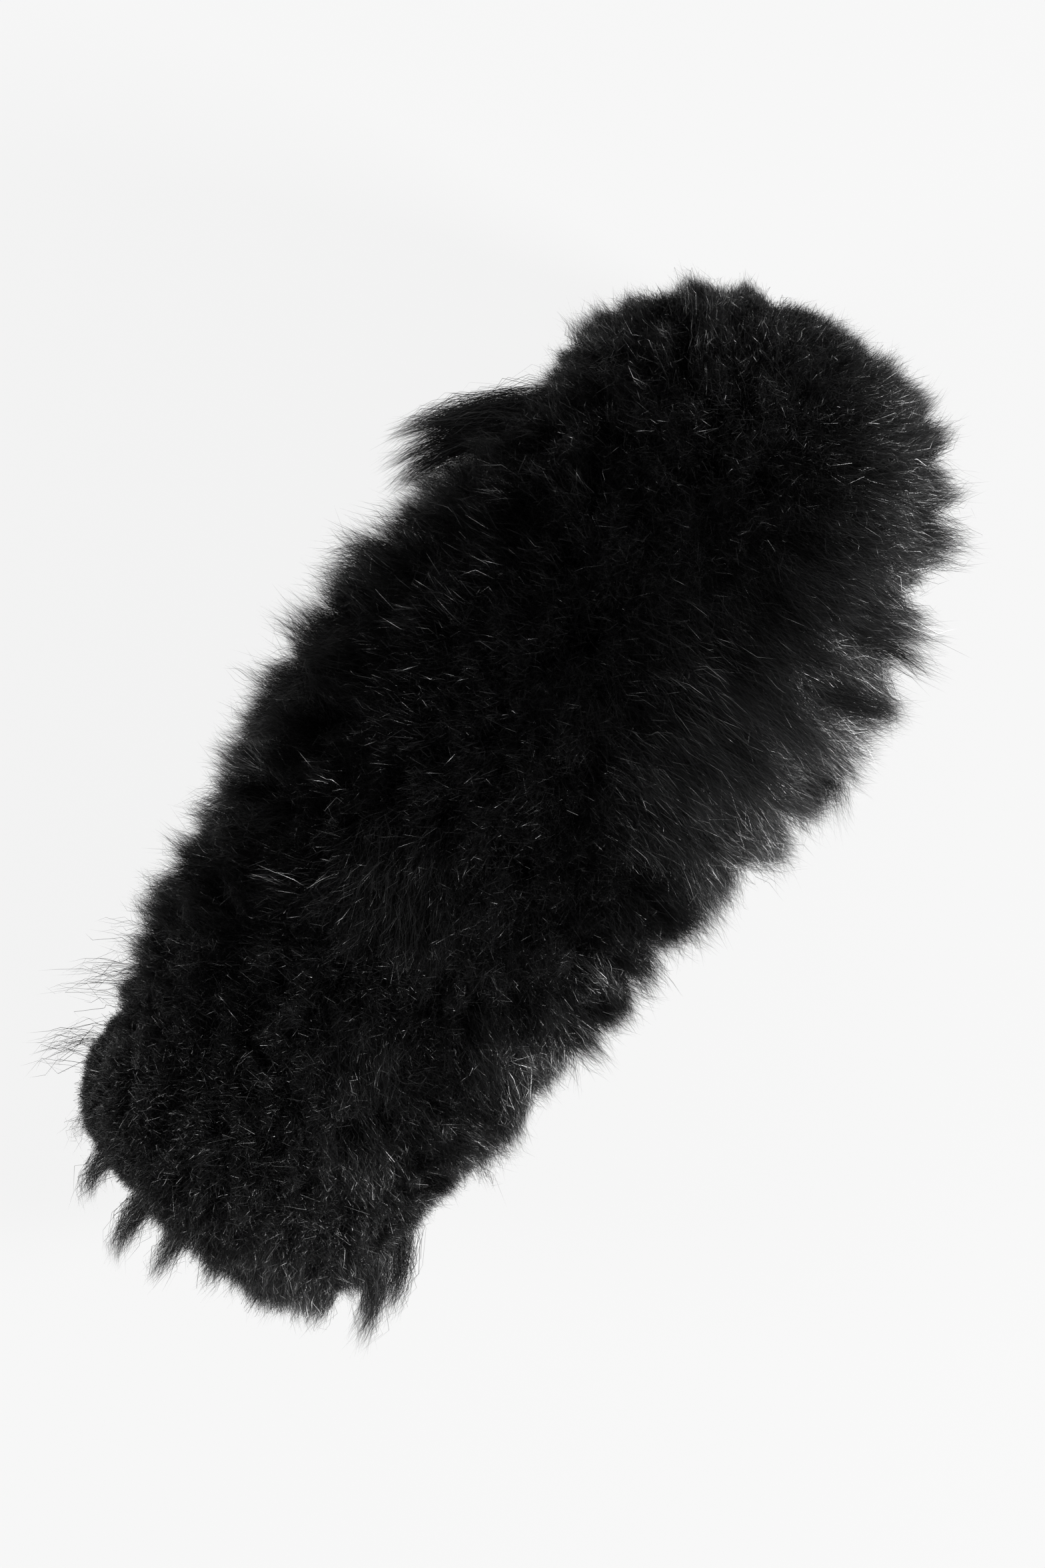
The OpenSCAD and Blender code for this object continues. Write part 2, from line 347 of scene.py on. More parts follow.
def grained_material(name, dark, light, rough, grain, depth, specular=0.5):
    """Moulded plastic or rubber: a fine grain, with soft patches of wear in colour and gloss."""
    material, tree, shader = new_material(name)
    place = plain_place(tree)
    patch = node_in(tree, "ShaderNodeTexNoise", Scale=0.09, Detail=5)
    fine = node_in(tree, "ShaderNodeTexNoise", Scale=grain, Detail=3)
    tree.links.new(place, patch.inputs["Vector"])
    tree.links.new(place, fine.inputs["Vector"])
    set_colour(tree, patch.outputs["Fac"], dark, light, shader)
    set_range(tree, patch.outputs["Fac"], rough - 0.08, rough + 0.08, shader.inputs["Roughness"])
    set_bump(tree, fine.outputs["Fac"], depth, 0.5, shader)
    shader.inputs["Specular IOR Level"].default_value = specular
    return material


def steel_material():
    """Screw steel with a fine scratch-like noise in its colour, gloss and relief."""
    material, tree, shader = new_material("screw_steel")
    place = plain_place(tree)
    scratch = node_in(tree, "ShaderNodeTexNoise", Scale=6, Detail=6)
    tree.links.new(place, scratch.inputs["Vector"])
    set_colour(tree, scratch.outputs["Fac"], (0.2, 0.2, 0.21), (0.34, 0.34, 0.36), shader)
    set_range(tree, scratch.outputs["Fac"], 0.25, 0.5, shader.inputs["Roughness"])
    set_bump(tree, scratch.outputs["Fac"], 0.02 * MM, 0.4, shader)
    shader.inputs["Metallic"].default_value = 1
    return material


def woven_material(name, dark, light, along, across, depth):
    """Knit, tape or mesh: two sets of raised threads, at so many per millimetre each way."""
    material, tree, shader = new_material(name)
    place = wrapped_place(tree)
    threads = []
    for direction, count in (("X", along), ("Y", across)):
        wave = node_in(tree, "ShaderNodeTexWave", Scale=count / 3.14, Distortion=0.6, Detail=1)
        wave.bands_direction = direction
        tree.links.new(place, wave.inputs["Vector"])
        threads.append(wave.outputs["Fac"])
    crossed = math_node(tree, "MULTIPLY", *threads)
    set_colour(tree, crossed, dark, light, shader)
    set_bump(tree, crossed, depth, 0.8, shader)
    shader.inputs["Roughness"].default_value = 0.85
    shader.inputs["Sheen Weight"].default_value = 0.3
    shader.inputs["Specular IOR Level"].default_value = 0.2
    return material


def foam_material(name, dark, light, pores):
    """Foam: dark round cells between paler walls, at so many per millimetre."""
    material, tree, shader = new_material(name)
    place = plain_place(tree)
    cells = node_in(tree, "ShaderNodeTexVoronoi", Scale=pores)
    tree.links.new(place, cells.inputs["Vector"])
    set_colour(tree, cells.outputs["Distance"], dark, light, shader)
    set_bump(tree, cells.outputs["Distance"], 0.35 * MM, 0.9, shader)
    shader.inputs["Roughness"].default_value = 0.95
    shader.inputs["Specular IOR Level"].default_value = 0.15
    return material


# ---- Mesh helpers ----

def link_mesh(name, mesh, material):
    piece = bpy.data.objects.new(name, mesh)
    bpy.context.scene.collection.objects.link(piece)
    mesh.materials.append(material)
    mesh.polygons.foreach_set("use_smooth", np.ones(len(mesh.polygons), bool))
    return piece


def mesh_from_arrays(name, vertices, quads, triangles):
    """A mesh from numpy arrays of points and of four- and three-cornered faces."""
    mesh = bpy.data.meshes.new(name)
    mesh.vertices.add(len(vertices))
    mesh.vertices.foreach_set("co", vertices.astype(np.float32).ravel())
    corners = np.concatenate([quads.ravel(), triangles.ravel()])
    mesh.loops.add(len(corners))
    mesh.loops.foreach_set("vertex_index", corners.astype(np.int32))
    starts = np.concatenate([
        np.arange(len(quads)) * 4,
        len(quads) * 4 + np.arange(len(triangles)) * 3,
    ])
    mesh.polygons.add(len(starts))
    mesh.polygons.foreach_set("loop_start", starts.astype(np.int32))
    mesh.update(calc_edges=True)
    mesh.validate()
    return mesh


def revolved(loop, turns=TURNS):
    """Points and faces of a closed ring: a closed (x, r) loop turned round the bore axis."""
    loop = np.array(loop)
    angle = np.linspace(0, 2 * np.pi, turns, endpoint=False)
    x = np.repeat(loop[:, 0], turns)
    r = np.repeat(loop[:, 1], turns)
    around = np.tile(angle, len(loop))
    points = np.stack([x, r * np.cos(around), r * np.sin(around)], 1)
    i, j = np.meshgrid(np.arange(len(loop)), np.arange(turns), indexing="ij")
    i2, j2 = (i + 1) % len(loop), (j + 1) % turns
    quads = np.stack([i * turns + j, i * turns + j2, i2 * turns + j2, i2 * turns + j], -1)
    return points, quads.reshape(-1, 4)


def soft_piece(name, node, body, points, quads, material):
    """A piece that stands for a CAD node and moves with its body."""
    mesh = mesh_from_arrays(name, points, quads, np.zeros((0, 3), int))
    piece = link_mesh(name, mesh, material)
    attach(piece, body)
    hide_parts(node)
    return piece


def rounded_section(x0, x1, r0, r1, corner, steps=5):
    """A closed (x, r) loop: a rectangle with round corners, with points along its long sides."""
    loop = []
    corners = [
        (x1 - corner, r1 - corner, 90), (x1 - corner, r0 + corner, 0),
        (x0 + corner, r0 + corner, -90), (x0 + corner, r1 - corner, 180),
    ]
    for x, r, first in corners:
        for i in range(steps):
            turn = math.radians(first - 90 * i / (steps - 1))
            loop.append((x + corner * math.cos(turn), r + corner * math.sin(turn)))
    return filled(loop)


def filled(loop, gap=1.5 * MM):
    """The same closed loop with points added wherever two are further apart than the gap."""
    found = []
    for a, b in zip(loop, loop[1:] + loop[:1]):
        steps = max(1, math.ceil(math.dist(a, b) / gap))
        for i in range(steps):
            found.append((a[0] + (b[0] - a[0]) * i / steps, a[1] + (b[1] - a[1]) * i / steps))
    return found


# ---- Strands ----

RING_T = np.array([0, 0.32, 0.57, 0.79])  # where a strand's cross-lines stand, before its tip
RING_WIDTH = np.array([1, 0.95, 0.85, 0.6])
SWAY = np.array([[0, 1, -1, 0.8, -0.7], [0, 0.4, 0.9, -1, 0.6]])  # two ways that a strand can kink
FACES_EACH = 7


def strand_mesh(name, root, start, end, wave, length, width, tilt):
    """Flat tapered wavy strands. Each leaves its root along start and ends along end."""
    count = len(root)
    t = np.append(RING_T, 1.0)
    bend = (end - start)[:, None, :]
    path = start[:, None, :] * t[None, :, None] + bend * (t ** 2 / 2)[None, :, None]
    spine = root[:, None, :] + path * length[:, None, None]
    for way, pattern in enumerate(SWAY):
        spine = spine + wave[:, way, None, :] * pattern[None, :, None]
    spine = press_down(spine, FLOOR_Z + 0.15 * MM, 4 * MM)
    across = unit(np.cross(unit(spine[:, -1] - spine[:, 0]), tilt))
    half = (width[:, None] / 2 * RING_WIDTH[None, :])[:, :, None] * across[:, None, :]
    rings = len(RING_T)
    sides = np.stack([spine[:, :rings] - half, spine[:, :rings] + half], 2)
    vertices = np.concatenate([sides.reshape(count, rings * 2, 3), spine[:, rings:]], 1)
    quads = np.array([(2 * r, 2 * r + 1, 2 * r + 3, 2 * r + 2) for r in range(rings - 1)])
    triangles = np.array([(2 * rings - 2, 2 * rings - 1, 2 * rings)])
    base = (np.arange(count) * (rings * 2 + 1))[:, None, None]
    return mesh_from_arrays(
        name,
        vertices.reshape(-1, 3),
        (quads[None] + base).reshape(-1, 4),
        (triangles[None] + base).reshape(-1, 3),
    )


# ---- Fur ----

CLUMPS = 12000
STRANDS_PER_CLUMP = 40
TUFTS = 1300
MAX_FACES = 190000  # triangles in one piece
CLUMP_R = 1.5 * MM  # how far a clump's roots scatter
ROOT_DEPTH = 1.5 * MM  # how deep a root stands in the under-pile
SHORTEST, LONGEST = 5 * MM, 32 * MM
LOOSE_PAST_TAIL = 15.5 * MM  # how far a tip may reach beyond the fur's solid shape
LOOSE_PAST_SIDE = 11.5 * MM
TONES = [("dark", 0.0028, 0.26), ("mid", 0.0065, 0.4), ("light", 0.014, 0.46)]  # grey and shine
TONE_STEPS = (0.4, 0.76)  # where a strand's tone passes from one to the next

# Places where the pile lies over: x in millimetres, angle from +Y towards +Z in degrees, spread
# in millimetres, how flat it lies, and the way it leans, (tailward, round towards -Y).
LAID = [
    (163, 152, 34, 0.95, (0.1, 1.1)),
    (193, 146, 24, 0.8, (-0.3, 1.0)),
    (119, 158, 22, 0.6, (0.4, 0.9)),
    (138, 122, 20, 0.75, (0.0, 1.1)),
    (78, 80, 12, 1.2, (0.9, 0.6)),
    (43, 100, 8, 0.9, (0.7, 0.7)),
    (24, 122, 9, 0.9, (0.6, 0.8)),
    (57, 158, 20, 0.6, (0.6, 0.8)),
]

TAIL_COMB = np.array([-0.75, -0.55, 0])  # the way the fringe beyond the tail is swept

# Length of the pile along the body, both in millimetres.
PILE_DEPTH_X = np.array([-9, 0, 14, 40, 110, 150, 180, 200, 219]) * MM
PILE_DEPTH = np.array([12, 10, 9.5, 12, 14.5, 17, 15, 13.5, 12.5]) * MM

# Dents where the pile is short: x, angle, spread, and how much of the length goes.
DENTS = [
    (139, 2, 8, 0.65),
    (154, 6, 13, 0.4),
    (176, 8, 14, 0.35),
    (133, 176, 6, 0.35),
    (152, 178, 7, 0.6),
    (172, 178, 6, 0.35),
    (104, 180, 9, 0.25),
    (-1, 8, 18, 0.65),
    (-8, 0, 40, 0.25),
    (216, 100, 30, 0.1),
    (214, 0, 20, 0.12),
    (183, 178, 11, 0.3),
    (133, 5, 9, 0.6),
]

# Locks that stand out of the pile: root, tip (x, y, z in millimetres), root radius, strands,
# and how far the strands gather at the tip.
LOCKS = [
    ((176, 41, 10), (156, 58, 10), 3.5, 260, 0.5),
    ((171, 42, 8), (148, 65, 8), 4, 760, 0.6),
    ((168, 42, 6), (142, 62, 6), 3.5, 460, 0.7),
    ((166, 42, 4), (139, 58, 4), 3.5, 620, 0.7),
    ((122, 45, 6), (117, 60, 2), 6, 420, 0.5),
    ((128, 44, 8), (119, 60, 4), 5, 420, 0.5),
    ((96, 44, 6), (86, 56, 2), 6, 300, 0.5),
    ((70, 42, 6), (60, 51, 2), 6, 240, 0.5),
    ((49, 40, 6), (39, 48, 2), 5, 240, 0.5),
    ((198, -34, 12), (205, -49, 8), 6, 420, 0.5),
    ((178, -40, 8), (185, -53, 5), 6, 360, 0.5),
    ((159, -43, 8), (167, -59, 4), 3.5, 480, 0.65),
    ((137, -43, 6), (142, -60, 2), 3.5, 460, 0.65),
    ((124, -44, 6), (129, -60, 0), 5, 420, 0.55),
    ((40, -38, 2), (34, -48, -4), 6, 300, 0.5),
    ((16, -36, 0), (-5, -48, -10), 4, 460, 0.6),
    ((9, -34, 4), (-13, -47, -6), 4, 560, 0.65),
    ((0, -28, 8), (-15, -36, -4), 3.5, 420, 0.65),
    ((-4, -20, 8), (-15, -28, 0), 3, 400, 0.65),
    ((-7, -8, 14), (-21, -12, 6), 3, 300, 0.6),
    ((-7, 0, 12), (-27, -2, 4), 3, 460, 0.65),
    ((-7, 8, 12), (-29, 7, 4), 3, 520, 0.65),
    ((-5, 20, 8), (-22, 20, 0), 3, 420, 0.65),
    ((0, 28, 6), (-12, 30, 0), 4, 160, 0.5),
    ((9, 36, 4), (-4, 48, -2), 5, 60, 0.3),
    ((25, 38, 2), (12, 52, -4), 6, 60, 0.3),
    ((33, 38, 4), (26, 51, 0), 5, 50, 0.3),
]


def sample_surface(rng, count):
    """Even random (u, angle) on the under-pile, thinned where it lies on the floor."""
    index = np.arange(len(PROFILE_X))
    step = np.hypot(np.diff(PROFILE_X), np.diff(PROFILE_R))
    middle_r = (PROFILE_R[1:] + PROFILE_R[:-1]) / 2
    area = np.concatenate([[0], np.cumsum(step * (middle_r + 2 * MM))])
    draws = count * 3
    u = np.interp(rng.random(draws) * area[-1], area, index)
    angle = rng.random(draws) * 2 * np.pi
    under = np.clip(-np.sin(angle) - 0.55, 0, 0.45) / 0.45
    keep = rng.random(draws) > 0.7 * under
    return u[keep][:count], angle[keep][:count]


def nearness(point, angle, x, degrees, spread):
    """1 at a place on the body, falling smoothly to 0 past the spread round it."""
    radius = np.hypot(point[:, 1], point[:, 2])
    turn = (angle - math.radians(degrees) + np.pi) % (2 * np.pi) - np.pi
    distance = np.hypot(point[:, 0] - x * MM, radius * turn) / (spread * MM)
    return np.exp(-distance ** 2)


def flank_share(angle):
    """0 on top and underneath, rising to 1 on the two sides that make the outline."""
    return ease((np.abs(np.cos(angle)) - 0.35) / 0.5)


def pile_flow(point, normal, tailward, angle):
    """The direction that the pile leaves and ends in, and its length, at each point."""
    round_way = np.cross(normal, tailward)
    broad = smooth_noise(point, 26 * MM, 3.1)
    fine = smooth_noise(point, 9 * MM, 8.4)
    swirl = smooth_noise(point, 20 * MM, 14.2)
    flat = np.zeros(len(point))
    way = np.zeros((len(point), 2))
    for x, degrees, spread, amount, lean in LAID:
        weight = amount * nearness(point, angle, x, degrees, spread)
        flat += weight
        way += weight[:, None] * np.array(lean)
    flat = np.clip(flat, 0, 1)
    left_flank = np.clip(np.cos(angle), 0, 1)
    right_flank = np.clip(-np.cos(angle), 0, 1) ** 2
    nose_half = ease((point[:, 0] - 95 * MM) / (40 * MM))
    lean_tail = 0.06 + 0.12 * left_flank ** 2 - 0.4 * right_flank * nose_half
    lean_tail = lean_tail + 0.1 * broad + 0.08 * fine + way[:, 0]
    lean_round = 0.1 * swirl + 0.08 * smooth_noise(point, 8 * MM, 21.7) + way[:, 1]
    upright = 1.0 - 0.6 * flat
    lean = lean_tail[:, None] * tailward + lean_round[:, None] * round_way
    start = unit(normal * upright[:, None] + 0.3 * lean)
    hang = 0.7 * np.clip((14 * MM - point[:, 0]) / (20 * MM), 0, 1)
    end = unit(normal * (upright * 0.8)[:, None] + 1.1 * lean + hang[:, None] * TAIL_COMB)
    depth = np.interp(point[:, 0], PILE_DEPTH_X, PILE_DEPTH)
    length = depth * (1.03 + 0.1 * broad + 0.06 * fine + 0.25 * flat)
    before_peak = 1 - ease((point[:, 0] - 125 * MM) / (60 * MM))
    length = length * (0.92 + 0.22 * left_flank * before_peak + 0.08 * (1 - left_flank))
    for x, degrees, spread, share in DENTS:
        length = length * (1 - share * nearness(point, angle, x, degrees, spread))
    return start, end, length, broad


def tuft_pull(rng, point, start, end, length):
    """Bends each clump's end towards the tip of the tuft that it belongs to.

    The tufts are loose on top, where the pile reads as plush, and tight on the flanks.
    """
    u, angle = sample_surface(rng, TUFTS)
    centre, normal, tailward = skin_frame(u, angle)
    tuft_start, tuft_end, tuft_length, _ = pile_flow(centre, normal, tailward, angle)
    flank = flank_share(angle)
    tuft_length = tuft_length * (1.0 + (0.07 + 0.22 * flank) * rng.uniform(-1, 1.3, len(u)))
    grip = (0.05 + 0.75 * flank) * rng.uniform(0.5, 1.1, len(u))
    sideways = rng.normal(size=(len(u), 3)) * (0.06 + 0.28 * flank)[:, None]
    tuft_tip = centre + tuft_length[:, None] * ((tuft_start + tuft_end) / 2 + sideways)
    apart = (centre ** 2).sum(1)[None, :] - 2 * point @ centre.T
    own = apart.argmin(1)
    tip = point + length[:, None] * (start + end) / 2
    pull = (tuft_tip[own] - tip) * grip[own][:, None]
    tone = rng.normal(size=len(u))[own]
    taller = ((tuft_length / tuft_length.mean()) ** 0.7)[own]
    return unit(end + 2 * pull / length[:, None]), length * taller, tone


def grow_plush():
    """Clumps of strands over the whole under-pile, and the tone of each strand."""
    rng = np.random.default_rng(SEED)
    u, angle = sample_surface(rng, CLUMPS)
    count = len(u)
    point, normal, tailward = skin_frame(u, angle)
    start, end, length, broad = pile_flow(point, normal, tailward, angle)
    end, length, tuft_tone = tuft_pull(rng, point, start, end, length)
    length = length * rng.uniform(0.88, 1.1, count)
    clump_tone = 0.42 + 0.12 * broad + 0.08 * tuft_tone + 0.08 * rng.normal(size=count)

    each = STRANDS_PER_CLUMP
    strands = count * each
    offset = rng.normal(size=(count, each, 2)) * CLUMP_R
    round_way = np.cross(normal, tailward)
    side = offset[..., 0:1] * tailward[:, None, :] + offset[..., 1:2] * round_way[:, None, :]
    root = point[:, None, :] - ROOT_DEPTH * normal[:, None, :] + side
    flank = flank_share(angle)[:, None, None]
    gather = rng.uniform(0.1, 0.6, size=(count, 1, 1)) + 0.36 * flank
    inward = -side * gather / length[:, None, None]
    stray = rng.normal(size=(count, each, 3)) * (0.12 - 0.05 * flank)
    shared_wave = rng.normal(size=(count, 1, 2, 3)) * 0.35 * MM
    own_wave = rng.normal(size=(count, each, 2, 3)) * 0.55 * MM
    size = length[:, None] * rng.normal(0.97, 0.1, size=(count, each))
    return {
        "root": root.reshape(strands, 3),
        "start": unit((start[:, None, :] + 0.4 * stray).reshape(strands, 3)),
        "end": unit((end[:, None, :] + 2 * inward + 1.5 * stray).reshape(strands, 3)),
        "wave": (shared_wave + own_wave).reshape(strands, 2, 3),
        "length": np.clip(size.ravel(), SHORTEST, LONGEST),
        "width": rng.uniform(0.07, 0.115, strands) * MM,
        "tilt": rng.normal(size=(strands, 3)),
    }, np.repeat(clump_tone, each) + 0.18 * rng.normal(size=strands)


def grow_locks():
    """The separate locks that stand out of the pile, and the tone of each strand."""
    rng = np.random.default_rng(SEED + 1)
    found = {key: [] for key in ("root", "start", "end", "wave", "length", "width", "tilt")}
    for root_mm, tip_mm, radius_mm, strands, gather in LOCKS:
        root = np.array(root_mm) * MM
        tip = np.array(tip_mm) * MM
        out = outward(root)
        spread = rng.normal(size=(strands, 3)) * radius_mm * MM * 0.6
        inside = -out * np.abs(rng.normal(size=(strands, 1))) * 2 * MM
        roots = root + spread - (spread @ out)[:, None] * out + inside
        tips = tip + spread * (1 - gather) + rng.normal(size=(strands, 3)) * 1.1 * MM
        chord = tips - roots
        reach = rng.beta(5, 1.4, size=(strands, 1))
        chord = chord * reach
        length = np.linalg.norm(chord, axis=1) * 1.06
        start = unit(0.7 * out + 0.6 * unit(chord) + rng.normal(size=(strands, 3)) * 0.06)
        found["root"].append(roots)
        found["start"].append(start)
        found["end"].append(2 * chord / length[:, None] - start)
        found["wave"].append(rng.normal(size=(strands, 2, 3)) * 0.65 * MM)
        found["length"].append(length)
        found["width"].append(rng.uniform(0.07, 0.12, strands) * MM)
        found["tilt"].append(rng.normal(size=(strands, 3)))
    found = {key: np.concatenate(value) for key, value in found.items()}
    return found, rng.normal(0.55, 0.2, len(found["root"]))


def short_of_limits(strands):
    """Which strands end near enough to the fur's solid shape."""
    reach = strands["length"][:, None] * (strands["start"] + strands["end"]) / 2
    tip = strands["root"] + reach
    fits = tip[:, 0] > TAIL_X - LOOSE_PAST_TAIL
    fits &= np.abs(tip[:, 1]) < FUR_R + LOOSE_PAST_SIDE
    return fits & (tip[:, 2] < FUR_R + LOOSE_PAST_SIDE)


def place_strands(label, strands, tone):
    """Cuts the strands into pieces by seam and by tone, and again where one would be too large."""
    kept = short_of_limits(strands)
    strands = {key: value[kept] for key, value in strands.items()}
    tone = tone[kept]
    x = strands["root"][:, 0]
    nodes = [
        ("fur_tail_skirt", x < TAIL_SEAM_X),
        ("fur_body_wrap", (x >= TAIL_SEAM_X) & (x < NOSE_SEAM_X)),
        ("fur_nose_cap", x >= NOSE_SEAM_X),
    ]
    tone_class = np.digitize(tone, TONE_STEPS)
    for node, inside in nodes:
        for number, (tone_name, _, _) in enumerate(TONES):
            order = np.flatnonzero(inside & (tone_class == number))
            order = order[np.argsort(x[order], kind="stable")]
            groups = np.array_split(order, 1 + len(order) * FACES_EACH // MAX_FACES)
            for part, group in enumerate(groups):
                if len(group) == 0:
                    continue
                name = f"{node}_{label}_{tone_name}_{part + 1}"
                chosen = {key: value[group] for key, value in strands.items()}
                piece = link_mesh(name, strand_mesh(name, **chosen), FUR[number])
                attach(piece, "jacket")
                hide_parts(node)


def inner_face(x_from, x_to):
    """(x, r) along the backing's inside, from front to back."""
    x = np.linspace(x_to, x_from, 40)
    reach = np.clip(BACKING_R ** 2 - np.clip(x - DOME_X, 0, None) ** 2, NEAR_AXIS ** 2, None)
    return np.stack([x, np.sqrt(reach)], 1)


def under_pile(node, x_from, x_to):
    """The dense lower part of one fur panel, as a closed shell round the liner."""
    chosen = (PROFILE_X >= x_from) & (PROFILE_X <= x_to)
    outer = np.stack([PROFILE_X[chosen], np.maximum(PROFILE_R[chosen], 0.1 * MM)], 1)[::2]
    inner_end = min(outer[-1][0], DOME_X + BACKING_R - 0.2 * MM)
    inner_start = max(outer[0][0], high("hem_binding").x)
    loop = np.concatenate([outer, inner_face(inner_start, inner_end)])
    if x_from < low("hem_binding").x:
        hem_end = high("hem_binding").x
        hem_start = low("hem_binding").x
        lip = [
            (hem_end, HEM_R + 0.1 * MM), (hem_start + 1 * MM, HEM_R + 0.1 * MM),
            (hem_start - 0.5 * MM, BACKING_R + 0.2 * MM), (TAIL_X + 10 * MM, OPENING_R),
        ]
        loop = np.concatenate([loop, lip])
    points, quads = revolved(loop)
    bump = smooth_noise(points, 9 * MM, 5.5) * 0.8 * MM
    outside = np.arange(len(points)) < len(outer) * TURNS
    points = points + outward(points) * (bump * outside)[:, None]
    points = press_down(points, FLOOR_Z + 1.0 * MM, 3 * MM)
    soft_piece(f"{node}_under_pile", node, "jacket", points, quads, UNDER_PILE)


FUR = [fur_material(f"fur_{name}", grey, shine) for name, grey, shine in TONES]
# The under-pile is near black with almost no shine, darker than any strand. The black is the fibre's
# own colour. The extra darkness is painted shade for the depths of the pile, which the sparse strands
# do not shade themselves.
UNDER_PILE = plain_material("under_pile", (0.0015, 0.0015, 0.0016), 1, 0.05)
under_pile("fur_tail_skirt", -1, TAIL_SEAM_X)
under_pile("fur_body_wrap", TAIL_SEAM_X, NOSE_SEAM_X)
under_pile("fur_nose_cap", NOSE_SEAM_X, 1)
place_strands("pile", *grow_plush())
place_strands("locks", *grow_locks())


# ---- Inside of the jacket ----

LINER_R = high("jacket_liner").y
LINER_WALL = 0.7 * MM
STITCH_LENGTH = 2.6 * MM
STITCH_WIDTH = 0.5 * MM
STITCH_SIDES = 6
SEAM_R = high("tail_seam").y


def quarter_arc(r):
    """(x, r) points over a round nose of that radius, from its widest to its tip."""
    turn = np.linspace(0, np.pi / 2, 40)
    return [(DOME_X + r * math.sin(a), max(r * math.cos(a), NEAR_AXIS)) for a in turn]


def round_nosed(r, x_from):
    """(x, r) points along a tube of that radius and over its round nose."""
    tube = [(x, r) for x in np.linspace(x_from, DOME_X, 60)]
    return tube + quarter_arc(r)[1:]


def stitches(name, node, centres, along, out, material):
    """Short raised threads: closed six-sided bars that dip at both ends."""
    t = np.linspace(-1, 1, 7)
    lift = np.sqrt(1 - np.abs(t) ** 3 * 0.98) - 0.55
    fat = np.sqrt(1 - np.abs(t) ** 4 * 0.98)
    side = np.cross(along, out)
    spine = (
        centres[:, None, :] + along[:, None, :] * (t * STITCH_LENGTH / 2)[None, :, None]
        + out[:, None, :] * (lift * STITCH_WIDTH)[None, :, None]
    )
    corner = 2 * np.pi * np.arange(STITCH_SIDES) / STITCH_SIDES
    ring = (
        side[:, None, None, :] * np.cos(corner)[None, None, :, None]
        + out[:, None, None, :] * np.sin(corner)[None, None, :, None]
    )
    points = spine[:, :, None, :] + ring * (fat * STITCH_WIDTH / 2)[None, :, None, None]
    quads = []
    for row in range(len(t) - 1):
        first = row * STITCH_SIDES
        for c in range(STITCH_SIDES):
            d = (c + 1) % STITCH_SIDES
            quads.append((first + c, first + d, first + STITCH_SIDES + d, first + STITCH_SIDES + c))
    last = (len(t) - 1) * STITCH_SIDES
    quads += [(3, 2, 1, 0), (5, 4, 3, 0)]
    quads += [(last, last + 1, last + 2, last + 3), (last, last + 3, last + 4, last + 5)]
    base = (np.arange(len(centres)) * len(t) * STITCH_SIDES)[:, None, None]
    faces = (np.array(quads)[None] + base).reshape(-1, 4)
    return soft_piece(name, node, "jacket", points.reshape(-1, 3), faces, material)


def ring_of_stitches(name, node, x, r, count, slant, material):
    """Stitches round the bore axis, each slanted from the axis's direction."""
    angle = 2 * np.pi * np.arange(count) / count
    zero = np.zeros(count)
    out = np.stack([zero, np.cos(angle), np.sin(angle)], 1)
    round_way = np.stack([zero, -np.sin(angle), np.cos(angle)], 1)
    along = math.cos(slant) * np.array([[1, 0, 0]]) + math.sin(slant) * round_way
    centres = out * r + np.array([[x, 0, 0]])
    return stitches(name, node, centres, along, out, material)


def make_liner():
    outer = round_nosed(LINER_R, low("jacket_liner").x)
    inner = round_nosed(LINER_R - LINER_WALL, low("jacket_liner").x)
    knit = woven_material(
        "liner_knit", (0.012, 0.012, 0.014), (0.045, 0.045, 0.05), 0.9, 1.3, 0.3 * MM)
    points, quads = revolved(outer + inner[::-1])
    liner = soft_piece("jacket_liner_knit", "jacket_liner", "jacket", points, quads, knit)


def make_hem(thread):
    x0, x1 = low("hem_binding").x, high("hem_binding").x
    tape = woven_material("hem_tape", (0.008, 0.008, 0.009), (0.03, 0.03, 0.032), 2.2, 2.2, 0.15 * MM)
    loop = rounded_section(x0, x1, BACKING_R, HEM_R, 0.7 * MM)
    points, quads = revolved(loop, FINE_TURNS)
    pucker = smooth_noise(points, 5 * MM, 2.2) * 0.12 * MM
    points = points - outward(points) * np.abs(pucker)[:, None]
    soft_piece("hem_binding_tape", "hem_binding", "jacket", points, quads, tape)
    stitch_x, stitch_r = x0 + 4.6 * MM, HEM_R - 0.1 * MM
    ring_of_stitches("hem_binding_stitches", "hem_binding", stitch_x, stitch_r, 72, 0, thread)
    turn = np.linspace(0, -2 * np.pi, 16, endpoint=False)
    middle_x, middle_r = (x0 + x1) / 2, (BACKING_R + HEM_R) / 2
    radius = high("hem_elastic").y - middle_r
    round_loop = [(middle_x + radius * math.cos(a), middle_r + radius * math.sin(a)) for a in turn]
    points, quads = revolved(round_loop, FINE_TURNS)
    braid = woven_material("elastic_braid", (0.03, 0.03, 0.032), (0.08, 0.08, 0.085), 3, 3, 0.1 * MM)
    soft_piece("hem_elastic_cord", "hem_elastic", "jacket", points, quads, braid)


def squarish(value):
    """Turns a sine or cosine so that it draws a rounded box and not a circle."""
    return math.copysign(abs(value) ** 0.5, value)


